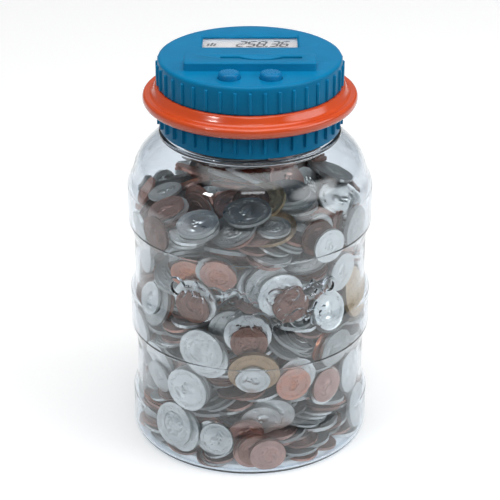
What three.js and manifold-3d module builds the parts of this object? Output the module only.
// A coin counting money jar: a clear banded jar full of coins, and a screw-on counter lid.
// Millimetres, +Z up, the front (buttons) towards -Y, the origin under the middle of the base.
import * as THREE from "three";
import { mergeVertices } from "three/addons/utils/BufferGeometryUtils.js";
import Module from "manifold-3d";

const wasm = await Module();
wasm.setup();

// ---- Driving sizes ----
const gap = 0.3; // left between pieces that touch
const roundSides = 32; // facets of the jar
const lidSides = 40; // facets of the lid: one to each grip rib

// Jar
const bandR = 64; // the three wide bands
const bandStep = 2.8; // how much narrower the waists between them are
const wall = 1.8;
const bandPitch = 60; // from one band to the next
const bandHalf = 9.5; // half the flat of a band
const bandSlope = 7.5; // from a band's flat to the waist
const firstBandZ = 13; // middle of the lowest band
const baseCorner = 3; // rounding under the lowest band
const standingW = 12.6; // the flat ring that it stands on
const pushUpH = 2.6; // hollow under the base
const shoulderH = 19;
const neckR = 42.6;
const neckWall = 2;
const neckH = 19; // from the shoulder to the rim
const beadStep = 4.4; // the support bead, out from the neck
const beadH = 3;

// Thread, shared by the neck and the screw cap
const pitch = 5;
const threadTurns = 1.5;
const threadR = 1.1; // half the height of the thread's ridge
const threadDrop = 10.5; // from the rim down to the thread's start

// Coins
const fillDrop = 11; // from the shoulder's foot down to the coins at the wall
const fillDome = 11; // the heap's middle above its edge
const fillGap = 0.6;

// Screw cap
const capClear = 1.7; // room for the thread
const capWall = 2.1;
const capH = 15; // from the skirt's edge up to the neck's rim
const deckT = 2;
const ribCount = 40;
const ribW = 2.2;
const ribProud = 1.5;
const capRibFoot = 3.5; // plain edge below the cap's ribs

// Trim ring
const trimW = 8.5;
const trimCollarW = 3.7;
const trimH = 10;
const trimRim = 2.9; // radius of the rolled rim
const trimOverlap = 1.7; // from its foot up to the neck's rim

// Head cover
const headRise = 22.8; // from the neck's rim to the top face
const headStep = 0.4; // the head is this much wider than the cap
const headWall = 2.2;
const headTopT = 2;
const headEdge = 1.5;
const ribTopDrop = 2.9;

// Coin bar and slot on the head
const slotX = 5.5;
const slotY = -15.4;
const slotL = 40.6;
const slotW = 2.8;
const barMargin = 7.1; // beyond the slot's far end
const barFront = 8.2;
const barBack = 6.2;
const barH = 4.2;
const scoopL = 22;
const scoopDeep = 1.6;
const scoopHalfW = 3.2;

// Display
const windowHalfX = 24.5;
const windowY0 = 12.3;
const windowY1 = 30.3;
const windowLedge = 1.4; // thickness of the cover around the window
const lensRebate = 1.5;
const lensT = 1.2;
const lcdT = 1.6;
const stripHalfX = 20;

// Buttons
const buttonX = 10.2;
const buttonY = -32.9;
const buttonR = 5.4;
const buttonProud = 3.1;
const buttonStem = 2.5; // below the cover's underside

// Board and screws
const boardDrop = 6.7; // from the top face
const boardMargin = 4.6;
const boardT = 1.6;
const bossR = 3.5;
const postR = 2.6;
const postPlaces = [
  [-24, -27],
  [24, -27],
  [-31.5, 12],
  [31.5, 12],
];

// Coin guide and measuring lever
const channelW = 3.2;
const guideT = 1.8;
const guideDrop = 2; // below the neck's rim
const leverPastSlot = 3.2;
const leverRise = 13; // pivot above the neck's rim
const leverTipRise = 2.5;
const leverHub = 3.3;
const leverTip = 2.2;
const pinR = 1.5;

// Batteries: two AAA cells side by side
const cellR = 5.2;
const cellL = 44.5;
const cellNub = 1;
const cellRise = 3; // above the neck's rim
const springRoom = 3.6;
const contactT = 0.4;
const boxY0 = 1.5;
const boxWall = 1.4;
const lugDrop = 0.8; // from the deck down to the hinge lugs and the latch
const doorT = 1.6;
const doorPinR = 0.8;
const hingeR = 1.6;

// ---- Worked out from the sizes above ----
const waistR = bandR - bandStep;
const pushUpR = bandR - baseCorner - standingW;
const shoulderZ0 = firstBandZ + 2 * bandPitch + bandHalf + bandSlope;
const shoulderTopZ = shoulderZ0 + shoulderH;
const neckTopZ = shoulderTopZ + neckH;
const boreR = neckR - neckWall;
const beadR = neckR + beadStep;
const threadStartZ = neckTopZ - threadDrop;
const fillEdgeZ = shoulderZ0 - fillDrop;

const capBoreR = neckR + capClear;
const capR = capBoreR + capWall;
const capBottomZ = neckTopZ - capH;
const ribR = capR + ribProud; // over the ribs, on cap and head alike
const deckZ = neckTopZ + gap + 1.2 + gap; // above the rim's gasket
const deckTopZ = deckZ + deckT;
const trimBoreR = capR + 0.1;
const capCollarR = trimBoreR - 0.6; // the cap's top, inside the trim ring
const trimR = trimBoreR + trimW;
const trimCollarR = trimBoreR + trimCollarW;
const trimZ0 = neckTopZ - trimOverlap;
const trimTopZ = trimZ0 + trimH;

const headR = capR + headStep;
const headBoreR = headR - headWall;
const headLipR = trimBoreR - 0.4; // the lip that goes down inside the trim ring
const headTopZ = neckTopZ + headRise;
const headUnderZ = headTopZ - headTopT;
const barTopZ = headTopZ + barH;
const barHalfX = slotX + slotL / 2 + barMargin;
const barY0 = slotY - barFront;
const barY1 = slotY + barBack;

const lensZ1 = headTopZ - windowLedge - gap;
const lensZ0 = lensZ1 - lensT;
const lcdZ1 = lensZ0 - gap;
const lcdZ0 = lcdZ1 - lcdT;
const lensSide = lensRebate - gap;

const boardTopZ = headTopZ - boardDrop;
const boardZ0 = boardTopZ - boardT;
const boardR = headBoreR - boardMargin;
const bossCircle = boardR - bossR;

const guideFrontY = slotY - channelW / 2;
const guideRearY = slotY + channelW / 2;
const guideX0 = slotX - slotL / 2 - 2;
const guideTopZ = barTopZ - headTopT - gap;
const guideSideTopZ = headUnderZ - 0.4; // beside the bar
const guideZ0 = neckTopZ - guideDrop;
const leverX = slotX + slotL / 2 + leverPastSlot;
const leverZ = neckTopZ + leverRise;
const leverTipX = slotX + 0.5;
const leverTipZ = neckTopZ + leverTipRise;
const guideX1 = leverX + leverHub + 2.5;
const sensorY = guideRearY + guideT + 1.4;

const cellY0 = boxY0 + boxWall + 2 * gap + cellR;
const cellY = [cellY0, cellY0 + 2 * cellR + 2 * gap];
const boxY1 = cellY[1] + cellR + 2 * gap + boxWall;
const contactX = (cellL + springRoom + 3 * gap + contactT) / 2;
const boxHalfX = contactX + contactT / 2 + gap + boxWall;
const cellZ = neckTopZ + cellRise;
const boxZ0 = cellZ - cellR - 0.8;
const boxTopZ = cellZ + cellR + 0.8 + boxWall;
const contactHalf = cellR - 0.6;
const hingeY = boxY1 + hingeR + gap;
const hingeZ = boxZ0 - 0.4;
const lugTopZ = deckZ - lugDrop;
const doorZ0 = boxZ0 - gap - doorT;
const latchY = boxY0 - 2.6; // the door's screw

// ---- Shape helpers ----

// A closed geometry as a manifold-3d solid, turned outwards if it faces inwards.
function solid(geometry) {
  const bare = geometry.index ? geometry.toNonIndexed() : geometry.clone();
  bare.deleteAttribute("normal");
  bare.deleteAttribute("uv");
  const merged = mergeVertices(bare, 1e-4);
  const vertProperties = new Float32Array(merged.attributes.position.array);
  const triVerts = new Uint32Array(merged.index.array);
  const made = new wasm.Manifold(
    new wasm.Mesh({ numProp: 3, vertProperties, triVerts }),
  );
  if (made.volume() > 0) return made;
  for (let i = 0; i < triVerts.length; i += 3) {
    [triVerts[i + 1], triVerts[i + 2]] = [triVerts[i + 2], triVerts[i + 1]];
  }
  return new wasm.Manifold(
    new wasm.Mesh({ numProp: 3, vertProperties, triVerts }),
  );
}

function geometryOf(made) {
  const mesh = made.getMesh();
  const positions = new Float32Array(mesh.numVert * 3);
  for (let i = 0; i < mesh.numVert; i++) {
    const start = i * mesh.numProp;
    positions.set(mesh.vertProperties.subarray(start, start + 3), i * 3);
  }
  const flat = new THREE.BufferGeometry();
  flat.setAttribute("position", new THREE.BufferAttribute(positions, 3));
  flat.setIndex(new THREE.BufferAttribute(new Uint32Array(mesh.triVerts), 1));
  const made3 = flat.toNonIndexed();
  made3.computeVertexNormals();
  return made3;
}

// A turned shape about Z from [radius, z] points.
function turned(points, sides = roundSides) {
  const profile = points.map(([r, z]) => new THREE.Vector2(Math.max(r, 0), z));
  return solid(new THREE.LatheGeometry(profile, sides).rotateX(Math.PI / 2));
}

// A turned ring whose profile closes on itself.
function turnedRing(points, sides) {
  return turned([...points, points[0]], sides);
}

function disc(r, z0, z1, x = 0, y = 0, sides = 24) {
  const made = new THREE.CylinderGeometry(r, r, z1 - z0, sides);
  made.rotateX(Math.PI / 2).translate(x, y, (z0 + z1) / 2);
  return solid(made);
}

// A rod along X or Y.
function rod(axis, r, from, to, a, b, sides = 16) {
  const made = new THREE.CylinderGeometry(r, r, to - from, sides);
  const middle = (from + to) / 2;
  if (axis === "x") {
    made.rotateZ(Math.PI / 2).translate(middle, a, b);
  } else {
    made.translate(a, middle, b);
  }
  return solid(made);
}

function block(x0, x1, y0, y1, z0, z1) {
  const made = new THREE.BoxGeometry(x1 - x0, y1 - y0, z1 - z0);
  made.translate((x0 + x1) / 2, (y0 + y1) / 2, (z0 + z1) / 2);
  return solid(made);
}

// An upright extrusion of a shape.
function prism(shape, z0, z1, curveSegments = 6) {
  const options = { depth: z1 - z0, bevelEnabled: false, curveSegments };
  return solid(new THREE.ExtrudeGeometry(shape, options).translate(0, 0, z0));
}

// A plate of thickness y1 - y0 whose outline lies in X and Z.
function standingPlate(shape, y0, y1, curveSegments = 6) {
  const options = { depth: y1 - y0, bevelEnabled: false, curveSegments };
  const made = new THREE.ExtrudeGeometry(shape, options);
  made.rotateX(Math.PI / 2).translate(0, y1, 0);
  return solid(made);
}

function roundedRect(x0, x1, y0, y1, r) {
  const s = new THREE.Shape();
  s.moveTo(x0 + r, y0);
  s.lineTo(x1 - r, y0);
  s.absarc(x1 - r, y0 + r, r, -Math.PI / 2, 0, false);
  s.lineTo(x1, y1 - r);
  s.absarc(x1 - r, y1 - r, r, 0, Math.PI / 2, false);
  s.lineTo(x0 + r, y1);
  s.absarc(x0 + r, y1 - r, r, Math.PI / 2, Math.PI, false);
  s.lineTo(x0, y0 + r);
  s.absarc(x0 + r, y0 + r, r, Math.PI, Math.PI * 1.5, false);
  return s;
}

// A round bar along a curve.
function bar(curve, r, steps, sides = 6) {
  const section = new THREE.Shape();
  for (let i = 0; i < sides; i++) {
    const a = (i / sides) * 2 * Math.PI;
    if (i) section.lineTo(r * Math.cos(a), r * Math.sin(a));
    else section.moveTo(r * Math.cos(a), r * Math.sin(a));
  }
  const options = { steps, bevelEnabled: false, extrudePath: curve };
  return solid(new THREE.ExtrudeGeometry(section, options));
}

// A right-handed helix about a line through (x, y) along Z.
class Helix extends THREE.Curve {
  constructor(r, turns, rise, z0, startAngle = 0) {
    super();
    Object.assign(this, { r, turns, rise, z0, startAngle });
  }
  getPoint(t, target = new THREE.Vector3()) {
    const a = this.startAngle + 2 * Math.PI * this.turns * t;
    const z = this.z0 + this.rise * this.turns * t;
    return target.set(this.r * Math.cos(a), this.r * Math.sin(a), z);
  }
}

function union(list) {
  return list.reduce((all, one) => all.add(one));
}

// Material colours, one function to a finish.
const finishes = {
  blue: { color: 0x0b6fae, roughness: 0.38, metalness: 0 },
  orange: { color: 0xe8531f, roughness: 0.35, metalness: 0 },
  clear: { color: 0xdfeaf2, roughness: 0.08, metalness: 0, transparent: true, opacity: 0.35 },
  coin: { color: 0xa9a49c, roughness: 0.4, metalness: 0.9 },
  white: { color: 0xe9e9e4, roughness: 0.5, metalness: 0 },
  grey: { color: 0xb9beb8, roughness: 0.3, metalness: 0 },
  rubber: { color: 0x4a4d50, roughness: 0.85, metalness: 0 },
  board: { color: 0x2f6b3a, roughness: 0.55, metalness: 0 },
  black: { color: 0x17181a, roughness: 0.5, metalness: 0 },
  steel: { color: 0xb8bbbf, roughness: 0.3, metalness: 1 },
  brass: { color: 0xc8a24a, roughness: 0.3, metalness: 1 },
  cell: { color: 0x2c2e33, roughness: 0.4, metalness: 0.3 },
  foam: { color: 0xf0efe9, roughness: 0.9, metalness: 0 },
  red: { color: 0xb5201c, roughness: 0.5, metalness: 0 },
};

const jar = new THREE.Group();

function piece(name, made, finish) {
  const material = new THREE.MeshStandardMaterial(finishes[finish]);
  const mesh = new THREE.Mesh(geometryOf(made), material);
  mesh.name = name;
  jar.add(mesh);
}

// ---- Jar ----

// A band's outer profile, from the waist below it up to the waist above it.
function bandProfile(z, hasWaistBelow) {
  const foot = [
    [waistR, z - bandHalf - bandSlope],
    [bandR, z - bandHalf],
  ];
  const top = [
    [bandR, z + bandHalf],
    [waistR, z + bandHalf + bandSlope],
  ];
  return hasWaistBelow ? [...foot, ...top] : top;
}

// The shoulder, a quarter of an ellipse-like curve from the waist in to the neck.
function shoulderProfile(offset) {
  const startR = waistR - offset;
  const endR = beadR - 0.8 - offset;
  const sweep = (Math.PI / 2) * 0.86;
  const points = [];
  const steps = 5;
  for (let i = 1; i <= steps; i++) {
    const a = (i / steps) * sweep;
    const reach = Math.sin(a) / Math.sin(sweep);
    const inward = (1 - Math.cos(a)) / (1 - Math.cos(sweep));
    points.push([
      startR - (startR - endR) * inward,
      shoulderZ0 + (shoulderH - offset * 0.55) * reach,
    ]);
  }
  return points;
}

function bodyProfile(offset) {
  const cornerR = baseCorner - offset;
  const corner = [0, Math.PI / 4].map((a) => [
    bandR - baseCorner + cornerR * Math.sin(a),
    baseCorner - cornerR * Math.cos(a),
  ]);
  const bands = [0, 1, 2].flatMap((n) =>
    bandProfile(firstBandZ + n * bandPitch, n > 0).map(([r, z]) => [r - offset, z]),
  );
  const side = [[bandR - offset, baseCorner], ...bands];
  return [...corner, ...side, ...shoulderProfile(offset)];
}

function jarBody() {
  const outer = [
    [0, pushUpH],
    [pushUpR - pushUpH, pushUpH],
    [pushUpR, 0],
    ...bodyProfile(0),
    [beadR, shoulderTopZ + 1],
    [beadR, shoulderTopZ + beadH],
    [beadR - 0.6, shoulderTopZ + beadH + 0.5],
    [neckR, shoulderTopZ + beadH + 0.7],
    [neckR, neckTopZ - 0.5],
    [neckR - 0.5, neckTopZ],
    [boreR, neckTopZ],
    [boreR, shoulderTopZ + 1.5],
  ];
  const inner = bodyProfile(wall).reverse().slice(1);
  const floor = [
    [pushUpR + wall * 0.4, wall],
    [pushUpR - pushUpH + wall * 0.4, pushUpH + wall],
    [0, pushUpH + wall],
  ];
  const shell = turned([...outer, ...inner, ...floor]);
  const bead = bar(new Helix(neckR, threadTurns, pitch, threadStartZ), threadR, 36, 4);
  const inside = disc(boreR + 0.4, shoulderTopZ, neckTopZ, 0, 0, roundSides);
  return shell.add(bead.subtract(inside));
}

// The coins, as one plain solid of the outer shape that they fill.
function coinFill() {
  const foot = wall + fillGap;
  const side = bodyProfile(foot).filter(([, z]) => z < fillEdgeZ - 3);
  const top = [0, 0.25, 0.5, 0.75, 1].map((t) => [
    (bandR - foot - 0.5) * (1 - t),
    fillEdgeZ + fillDome * Math.sin((t * Math.PI) / 2),
  ]);
  return turned([
    [0, pushUpH + foot],
    [pushUpR - pushUpH + foot, pushUpH + foot],
    [pushUpR + foot, foot],
    ...side,
    ...top,
  ]);
}

piece("jar_body", jarBody(), "clear");
piece("coin_fill", coinFill(), "coin");

// ---- Screw cap ----

// The grip ribs as one toothed ring. Only its teeth stand out of the wall that it is joined to.
function gripRibs(rootR, z0, z1) {
  const shape = new THREE.Shape();
  for (let i = 0; i < ribCount; i++) {
    const middle = (i / ribCount) * 2 * Math.PI;
    const half = ribW / 2 / rootR;
    const tip = half * 0.5;
    const corners = [
      [rootR - 0.8, middle - half],
      [ribR, middle - tip],
      [ribR, middle + tip],
      [rootR - 0.8, middle + half],
    ];
    corners.forEach(([r, a], k) => {
      if (i || k) shape.lineTo(r * Math.cos(a), r * Math.sin(a));
      else shape.moveTo(r * Math.cos(a), r * Math.sin(a));
    });
  }
  const hole = new THREE.Path();
  hole.absarc(0, 0, rootR - 1.6, 0, 2 * Math.PI, true);
  shape.holes.push(hole);
  return prism(shape, z0, z1, lidSides / 4);
}

function bossPlaces() {
  return [0, 1, 2, 3].map((n) => [
    bossCircle * Math.cos((n * Math.PI) / 2),
    bossCircle * Math.sin((n * Math.PI) / 2),
  ]);
}

// The coin guide's two feet on the deck, from x0 to x1, and the line of their screws.
const guideTabs = [
  [guideX0 + 1, guideX0 + 9],
  [leverX - 25, leverX - 17],
];
const tabY1 = guideRearY + guideT + 6.6;
const tabScrewY = tabY1 - 2.6;

const guideOpening = {
  x0: guideX0 - 0.9,
  x1: guideX1 + 0.9,
  y0: guideFrontY - guideT - 0.9,
  y1: guideRearY + guideT + 0.9,
};

function screwCap() {
  const skirt = turnedRing(
    [
      [capBoreR, capBottomZ],
      [capR - 0.6, capBottomZ],
      [capR, capBottomZ + 0.6],
      [capR, trimZ0 - gap],
      [capCollarR, trimZ0 - gap],
      [capCollarR, deckTopZ],
      [capBoreR - 1, deckTopZ],
      [capBoreR, deckZ],
    ],
    lidSides,
  );
  const deck = disc(capBoreR + 0.2, deckZ, deckTopZ, 0, 0, lidSides);
  const ribs = gripRibs(capR, capBottomZ + capRibFoot, trimZ0 - gap);
  const startZ = threadStartZ + pitch / 2 - pitch;
  const bead = bar(new Helix(capBoreR, threadTurns, pitch, startZ), threadR, 36, 4);
  const beadRoom = disc(capBoreR + 0.6, capBottomZ, deckTopZ, 0, 0, lidSides);
  const o = guideOpening;
  const guideHole = block(o.x0, o.x1, o.y0, o.y1, deckZ - 1, deckTopZ + 1);
  const boxHole = block(
    -boxHalfX - 0.6,
    boxHalfX + 0.6,
    boxY0 - 0.6,
    boxY1 + 0.6,
    deckZ - 1,
    deckTopZ + 1,
  );
  const screwHoles = bossPlaces().map(([x, y]) =>
    disc(1.8, deckZ - 1, deckTopZ + 1, x, y, 12),
  );
  const pilots = guideTabs.map(([x0, x1]) =>
    disc(1.1, deckZ - 1, deckTopZ + 1, (x0 + x1) / 2, tabScrewY, 10),
  );
  return skirt
    .add(ribs)
    .add(bead.intersect(beadRoom))
    .add(deck)
    .subtract(union([guideHole, boxHole, ...screwHoles, ...pilots]));
}

piece("screw_cap", screwCap(), "blue");
piece(
  "rim_gasket",
  turnedRing(
    [
      [boreR + 0.2, neckTopZ + gap],
      [capBoreR - 2 * gap, neckTopZ + gap],
      [capBoreR - 2 * gap, deckZ - gap],
      [boreR + 0.2, deckZ - gap],
    ],
    roundSides,
  ),
  "foam",
);

// ---- Trim ring: a collar around the head and a rolled rim ----
function trimRing() {
  const rim = trimRim;
  const rimZ = trimZ0 + rim + 0.3;
  const rounded = [];
  for (let i = 0; i <= 5; i++) {
    const a = -Math.PI / 2 + (i / 5) * Math.PI;
    rounded.push([trimR - rim + rim * Math.cos(a), rimZ + rim * Math.sin(a)]);
  }
  return turnedRing(
    [
      [trimBoreR, trimZ0],
      [trimR - rim - 1.5, trimZ0],
      ...rounded,
      [trimCollarR + 0.6, rimZ + rim - 0.4],
      [trimCollarR, rimZ + rim + 0.3],
      [trimCollarR - 1.6, trimTopZ - 0.5],
      [trimCollarR - 2.4, trimTopZ],
      [trimBoreR, trimTopZ],
    ],
    lidSides,
  );
}
piece("trim_ring", trimRing(), "orange");

// ---- Head cover ----
// The display window's rectangle, grown by so much on each side.
function windowRect(grow, r) {
  return roundedRect(
    -windowHalfX - grow,
    windowHalfX + grow,
    windowY0 - grow,
    windowY1 + grow,
    r,
  );
}

function headCover() {
  const ribZ0 = trimTopZ + gap;
  const lipZ0 = deckTopZ + gap;
  const shell = turned(
    [
      [0, headUnderZ],
      [headBoreR, headUnderZ],
      [headBoreR, lipZ0],
      [headLipR, lipZ0],
      [headLipR, ribZ0],
      [headR, ribZ0],
      [headR, headTopZ - headEdge],
      [headR - headEdge * 0.3, headTopZ - headEdge * 0.3],
      [headR - headEdge, headTopZ],
      [0, headTopZ],
    ],
    lidSides,
  );
  const ribs = gripRibs(headR, ribZ0, headTopZ - ribTopDrop);
  const barSkin = prism(
    roundedRect(-barHalfX, barHalfX, barY0, barY1, 1.2),
    headTopZ - 1,
    barTopZ,
    2,
  );
  const barRoom = block(
    -barHalfX + headTopT,
    barHalfX - headTopT,
    barY0 + headTopT,
    barY1 - headTopT,
    headUnderZ - 1,
    barTopZ - headTopT,
  );
  const slot = prism(
    roundedRect(
      slotX - slotL / 2,
      slotX + slotL / 2,
      slotY - slotW / 2,
      slotY + slotW / 2,
      slotW / 2 - 0.01,
    ),
    headUnderZ,
    barTopZ + 1,
    3,
  );
  // The thumb scoop is a shallow cut by a rod whose ends run out where the scoop's length ends.
  const scoopR = (scoopL ** 2 / 4 + scoopDeep ** 2) / (2 * scoopDeep);
  const scoop = rod(
    "y",
    scoopR,
    slotY - scoopHalfW,
    slotY + scoopHalfW,
    slotX,
    barTopZ - scoopDeep + scoopR,
    72,
  );
  const bosses = bossPlaces().map(([x, y]) =>
    disc(bossR, deckTopZ + gap, headUnderZ + 0.5, x, y, 12),
  );
  const bossHoles = bossPlaces().map(([x, y]) =>
    disc(1.8, deckTopZ, deckTopZ + 11, x, y, 10),
  );
  const posts = postPlaces.map(([x, y]) =>
    disc(postR, boardTopZ + gap, headUnderZ + 0.5, x, y, 10),
  );
  const postHoles = postPlaces.map(([x, y]) =>
    disc(1.35, boardTopZ, headUnderZ - 1.2, x, y, 8),
  );
  const opening = prism(windowRect(0, 0.8), headUnderZ - 1, headTopZ + 1, 2);
  const lensSeat = prism(
    windowRect(lensRebate, 0.2),
    headUnderZ - 1,
    headTopZ - windowLedge,
    1,
  );
  const buttonHoles = [-buttonX, buttonX].map((x) =>
    disc(buttonR + 0.4, headUnderZ - 1, headTopZ + 1, x, buttonY, 20),
  );
  return shell
    .add(ribs)
    .add(barSkin)
    .subtract(union([barRoom, slot, scoop, opening, lensSeat, ...buttonHoles]))
    .add(union([...bosses, ...posts]))
    .subtract(union([...bossHoles, ...postHoles]));
}
piece("head_cover", headCover(), "blue");

// ---- Display ----
piece("lcd_window", prism(windowRect(lensSide, 0.5), lensZ0, lensZ1, 2), "clear");
const panel = {
  x0: -windowHalfX - 1,
  x1: windowHalfX + 1,
  y0: windowY0 - 1,
  y1: windowY1 + 1,
};
piece("lcd_panel", block(panel.x0, panel.x1, panel.y0, panel.y1, lcdZ0, lcdZ1), "grey");

function lcdHolder() {
  const side = 2;
  const outer = block(
    panel.x0 - side,
    panel.x1 + side,
    panel.y0 - side + 0.6,
    panel.y1 + side - 0.6,
    boardTopZ + gap,
    lcdZ1,
  );
  const seat = block(
    panel.x0 - gap,
    panel.x1 + gap,
    panel.y0 - gap,
    panel.y1 + gap,
    lcdZ0 - gap,
    lcdZ1 + 1,
  );
  const well = block(
    panel.x0 + 4,
    panel.x1 - 4,
    panel.y0 + 5,
    panel.y1 - 4,
    boardTopZ,
    lcdZ1,
  );
  const stripSlot = block(
    -stripHalfX - 0.4,
    stripHalfX + 0.4,
    panel.y0 + 0.6,
    panel.y0 + 3.4,
    boardTopZ,
    lcdZ1,
  );
  return outer.subtract(union([seat, well, stripSlot]));
}
piece("lcd_holder", lcdHolder(), "white");
piece(
  "lcd_connector",
  block(
    -stripHalfX,
    stripHalfX,
    panel.y0 + 1,
    panel.y0 + 3,
    boardTopZ + gap,
    lcdZ0 - gap,
  ),
  "rubber",
);

// ---- Main board, its chip and its screws ----
function mainBoard() {
  const disk = disc(boardR, boardZ0, boardTopZ, 0, 0, lidSides);
  const notches = bossPlaces().map(([x, y]) =>
    disc(bossR + 0.6, boardZ0 - 1, boardTopZ + 1, x, y, 12),
  );
  const holes = postPlaces.map(([x, y]) => disc(1.4, boardZ0 - 1, boardTopZ + 1, x, y, 8));
  const cut = block(
    guideX0 - 0.6,
    guideX1 + 0.9,
    guideFrontY - guideT - 3.8,
    guideRearY + guideT + 3.2,
    boardZ0 - 1,
    boardTopZ + 1,
  );
  return disk.subtract(union([...notches, ...holes, cut]));
}
piece("main_board", mainBoard(), "board");
piece(
  "controller_chip",
  turned(
    [
      [0, boardZ0 - gap],
      [6, boardZ0 - gap],
      [4.8, boardZ0 - gap - 1.2],
      [0, boardZ0 - gap - 1.5],
    ],
    16,
  ),
  "black",
);

// A pan-head screw that points up from headZ.
function screw(x, y, headZ, length, headRadius, shankR) {
  return disc(headRadius, headZ - 1.2, headZ, x, y, 12).add(
    disc(shankR, headZ - 0.2, headZ + length, x, y, 8),
  );
}
postPlaces.forEach(([x, y], n) => {
  piece(`board_screw_${n + 1}`, screw(x, y, boardZ0 - gap, 4.8, 2.2, 1), "steel");
});
bossPlaces().forEach(([x, y], n) => {
  piece(`head_screw_${n + 1}`, screw(x, y, deckZ - gap, 11, 2.8, 1.4), "steel");
});

// ---- Buttons and their rubber domes ----
function button(x) {
  const top = headTopZ + buttonProud;
  const cap = turned(
    [
      [0, headUnderZ - buttonStem],
      [1.8, headUnderZ - buttonStem],
      [1.8, headUnderZ - 1.8],
      [buttonR + 1.2, headUnderZ - 1.8],
      [buttonR + 1.2, headUnderZ - 0.4],
      [buttonR, headUnderZ - 0.4],
      [buttonR, top - 1],
      [buttonR - 0.9, top],
      [0, top],
    ],
    20,
  );
  return cap.translate([x, buttonY, 0]);
}
function dome(x) {
  const z = boardTopZ + gap;
  const top = headUnderZ - buttonStem - gap;
  return turned(
    [
      [0, z],
      [4.4, z],
      [2.2, top],
      [0, top],
    ],
    16,
  ).translate([x, buttonY, 0]);
}
piece("button_add", button(buttonX), "blue");
piece("button_subtract", button(-buttonX), "blue");
piece("keypad_dome_add", dome(buttonX), "rubber");
piece("keypad_dome_subtract", dome(-buttonX), "rubber");

// ---- Coin guide: two plates that the coin drops between, on edge ----
const pivotHole = () =>
  rod("y", pinR + gap, guideFrontY - 9, guideRearY + 9, leverX, leverZ, 16);

// The outline of a guide plate: its higher part goes up inside the bar.
function guideOutline() {
  const barEndX = slotX + slotL / 2 + 2;
  const outline = new THREE.Shape();
  outline.moveTo(guideX0, guideZ0);
  outline.lineTo(guideX1, guideZ0);
  outline.lineTo(guideX1, guideSideTopZ);
  outline.lineTo(barEndX, guideSideTopZ);
  outline.lineTo(barEndX, guideTopZ);
  outline.lineTo(guideX0, guideTopZ);
  return outline;
}
function guideRear() {
  const plate = standingPlate(guideOutline(), guideRearY, guideRearY + guideT);
  const wallY0 = guideFrontY + gap;
  const wallY1 = guideRearY + 0.5;
  const leftWall = block(guideX0, guideX0 + 1.7, wallY0, wallY1, guideZ0, guideTopZ);
  const rightWall = block(guideX1 - 1.5, guideX1, wallY0, wallY1, guideZ0, guideSideTopZ);
  const tabs = guideTabs.map(([x0, x1]) =>
    block(x0, x1, wallY1, tabY1, deckTopZ + gap, deckTopZ + 2),
  );
  const tabHoles = guideTabs.map(([x0, x1]) =>
    disc(1.4, deckTopZ, deckTopZ + 3, (x0 + x1) / 2, tabScrewY, 10),
  );
  const sensorPegs = [leverZ - 5.5, leverZ + 5].map((z) =>
    rod("y", 1.2, guideRearY + 1, sensorY - gap, leverX - 11.5, z, 10),
  );
  return union([plate, leftWall, rightWall, ...tabs, ...sensorPegs]).subtract(
    union([pivotHole(), ...tabHoles]),
  );
}
function guideFront() {
  const plate = standingPlate(guideOutline(), guideFrontY - guideT, guideFrontY);
  return plate.subtract(pivotHole());
}
piece("coin_guide_rear", guideRear(), "white");
piece("coin_guide_front", guideFront(), "white");
guideTabs.forEach(([x0, x1], n) => {
  const headZ = deckTopZ + 2 + gap;
  const x = (x0 + x1) / 2;
  const made = disc(2, headZ, headZ + 1.2, x, tabScrewY, 14).add(
    disc(0.7, deckZ + 0.2, headZ + 0.2, x, tabScrewY, 10),
  );
  piece(`guide_screw_${n + 1}`, made, "steel");
});

// ---- Measuring lever: a falling coin pushes its tip aside by the coin's width ----
function coinLever() {
  const armX = leverTipX - leverX;
  const armZ = leverTipZ - leverZ;
  const length = Math.hypot(armX, armZ);
  const outline = new THREE.Shape();
  outline.moveTo(0, -leverHub);
  outline.absarc(0, 0, leverHub, -Math.PI / 2, Math.PI / 2, false);
  outline.lineTo(-length, leverTip);
  outline.absarc(-length, 0, leverTip, Math.PI / 2, (Math.PI * 3) / 2, false);
  const half = channelW / 2 - 0.6;
  const options = { depth: 2 * half, bevelEnabled: false, curveSegments: 8 };
  const made = new THREE.ExtrudeGeometry(outline, options);
  made.rotateX(Math.PI / 2).translate(0, half, 0);
  made.rotateY(-Math.atan2(armZ, armX) + Math.PI);
  made.translate(leverX, slotY, leverZ);
  return solid(made).subtract(pivotHole());
}
piece("coin_lever", coinLever(), "white");
piece(
  "lever_pin",
  rod("y", pinR, guideFrontY - guideT - 3, guideRearY + guideT + 0.3, leverX, leverZ, 14),
  "steel",
);
function leverWiper() {
  const y0 = guideRearY + guideT + 0.6;
  const angle = Math.atan2(leverTipZ - leverZ, leverTipX - leverX);
  const arm = new THREE.BoxGeometry(10, 0.5, 2.6).translate(4.2, 0, 0);
  arm.rotateY(-angle).translate(leverX, y0 + 0.25, leverZ);
  return solid(arm);
}
piece("lever_wiper", leverWiper(), "brass");
function leverSpring() {
  const coil = bar(new Helix(pinR + 0.9, 2.5, 0.75, 0), 0.27, 25, 4);
  return coil
    .rotate([90, 0, 0])
    .translate([leverX, guideFrontY - guideT - gap - 0.3, leverZ]);
}
piece("lever_spring", leverSpring(), "steel");
piece(
  "sensor_board",
  block(
    leverX - 13.5,
    leverX + 6,
    sensorY,
    sensorY + 1.2,
    deckTopZ + 1.6,
    headUnderZ - 0.8,
  ),
  "board",
);

// ---- Battery box, cells, contacts and door ----

// The strips that carry current up through the box's roof: x, and from y0 to y1.
const contactTabs = cellY.map((y) => [contactX, y - 1.5, y + 1.5]);

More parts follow.
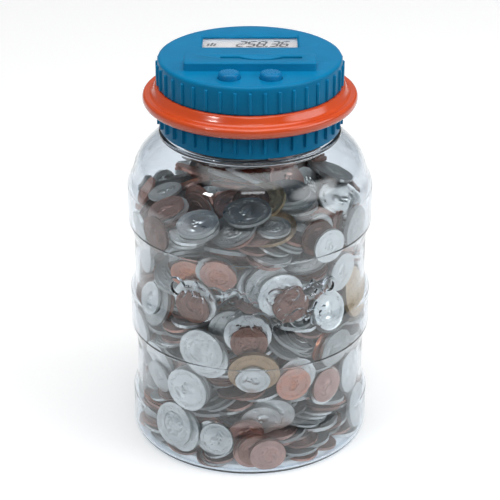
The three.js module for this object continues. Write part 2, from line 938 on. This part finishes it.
function batteryBox() {
  const outer = block(-boxHalfX, boxHalfX, boxY0, boxY1, boxZ0, boxTopZ);
  const flange = block(
    -boxHalfX - 3,
    boxHalfX + 3,
    boxY0 - 2.5,
    boxY1 + 2.5,
    deckTopZ + gap,
    deckTopZ + 1.8,
  );
  const room = block(
    -boxHalfX + boxWall,
    boxHalfX - boxWall,
    boxY0 + boxWall,
    boxY1 - boxWall,
    boxZ0 - 1,
    boxTopZ - boxWall,
  );
  const lugs = [-13, 13].map((x) =>
    rod("x", hingeR, x - 2, x + 2, hingeY, hingeZ, 12).add(
      block(x - 2, x + 2, boxY1 - 0.5, hingeY + hingeR - 0.4, boxZ0, lugTopZ),
    ),
  );
  const pinRoom = rod("x", doorPinR + gap, -20, 20, hingeY, hingeZ, 12);
  const latch = block(-4, 4, latchY - 2.8, boxY0 + 0.5, boxZ0, lugTopZ - 0.2);
  const latchHole = disc(2, boxZ0 - 1, lugTopZ, 0, latchY, 12);
  const tabSlots = contactTabs.map(([x, y0, y1]) =>
    block(x - 0.5, x + 0.5, y0 - gap, y1 + gap, boxTopZ - boxWall - 1, boxTopZ + 1),
  );
  return outer
    .add(flange)
    .subtract(room)
    .add(union([...lugs, latch]))
    .subtract(union([pinRoom, latchHole, ...tabSlots]));
}
piece("battery_box", batteryBox(), "black");

function cell(y, way) {
  const nubX = contactX - contactT / 2 - gap;
  const bodyX1 = nubX - cellNub;
  const bodyX0 = nubX - cellL;
  const made = rod("x", cellR, bodyX0, bodyX1, 0, 0, 24).add(
    rod("x", 1.9, bodyX1 - 0.5, nubX, 0, 0, 14),
  );
  const turn = way > 0 ? 0 : 180;
  return made.rotate([0, 0, turn]).translate([0, y, cellZ]);
}
piece("battery_1", cell(cellY[0], 1), "cell");
piece("battery_2", cell(cellY[1], -1), "cell");

function contact(x, y0, y1, tab) {
  const x0 = x - contactT / 2;
  const x1 = x + contactT / 2;
  const plate = block(x0, x1, y0, y1, cellZ - contactHalf, cellZ + contactHalf);
  if (!tab) return plate;
  return plate.add(block(x0, x1, tab[1], tab[2], cellZ, boxTopZ + 1.2));
}
piece(
  "battery_contact_bridge",
  contact(-contactX, cellY[0] - contactHalf, cellY[1] + contactHalf, null),
  "steel",
);
piece(
  "battery_contact_positive",
  contact(contactX, cellY[0] - contactHalf, cellY[0] + contactHalf, contactTabs[0]),
  "steel",
);
piece(
  "battery_contact_negative",
  contact(contactX, cellY[1] - contactHalf, cellY[1] + contactHalf, contactTabs[1]),
  "steel",
);
function cellSpring(y, side) {
  const turns = 3.5;
  const wireR = 0.35;
  const rise = (springRoom - 2 * wireR) / turns;
  const coil = bar(new Helix(2.6, turns, rise, wireR), wireR, 35, 4);
  const start = contactX - contactT / 2 - gap;
  const lying = coil.rotate([0, -90, 0]).translate([start, y, cellZ]);
  return side > 0 ? lying : lying.rotate([0, 0, 180]).translate([0, 2 * y, 0]);
}
piece("battery_spring_1", cellSpring(cellY[0], -1), "steel");
piece("battery_spring_2", cellSpring(cellY[1], 1), "steel");

function wire(tab, endX, endY) {
  const x = tab[0];
  const y = (tab[1] + tab[2]) / 2;
  const z0 = boxTopZ + 1.2 + gap;
  const z1 = boardZ0 - gap;
  const route = new THREE.CatmullRomCurve3([
    new THREE.Vector3(x, y, z0),
    new THREE.Vector3(x, y, z0 + 0.6),
    new THREE.Vector3(x + (endX - x) * 0.25, (y + endY) / 2, z0 + 1.2),
    new THREE.Vector3(endX, endY, z1 - 0.8),
    new THREE.Vector3(endX, endY, z1),
  ]);
  return bar(route, 0.5, 12, 6);
}
piece("battery_wire_red", wire(contactTabs[0], 30, -3), "red");
piece("battery_wire_black", wire(contactTabs[1], 33, 5), "black");

function batteryDoor() {
  const plate = block(
    -boxHalfX + 0.6,
    boxHalfX - 0.6,
    boxY0,
    hingeY - hingeR - gap,
    doorZ0,
    doorZ0 + doorT,
  );
  const arms = [-8, 8].map((x) =>
    rod("x", hingeR, x - 2.6, x + 2.6, hingeY, hingeZ, 12).add(
      block(x - 2.6, x + 2.6, hingeY - hingeR - 1, hingeY, doorZ0, doorZ0 + 1.2),
    ),
  );
  const pinRoom = rod("x", doorPinR + gap, -20, 20, hingeY, hingeZ, 12);
  const tab = block(-4, 4, latchY - 2.8, boxY0 + 0.5, doorZ0, doorZ0 + doorT);
  const hole = disc(1.5, doorZ0 - 1, doorZ0 + doorT + 1, 0, latchY, 12);
  return union([plate, tab, ...arms]).subtract(union([pinRoom, hole]));
}
piece("battery_door", batteryDoor(), "black");
piece("door_hinge_pin", rod("x", doorPinR, -15.5, 15.5, hingeY, hingeZ, 10), "steel");
piece("door_screw", screw(0, latchY, doorZ0 - gap, 4, 2.2, 1.2), "steel");

export default jar;
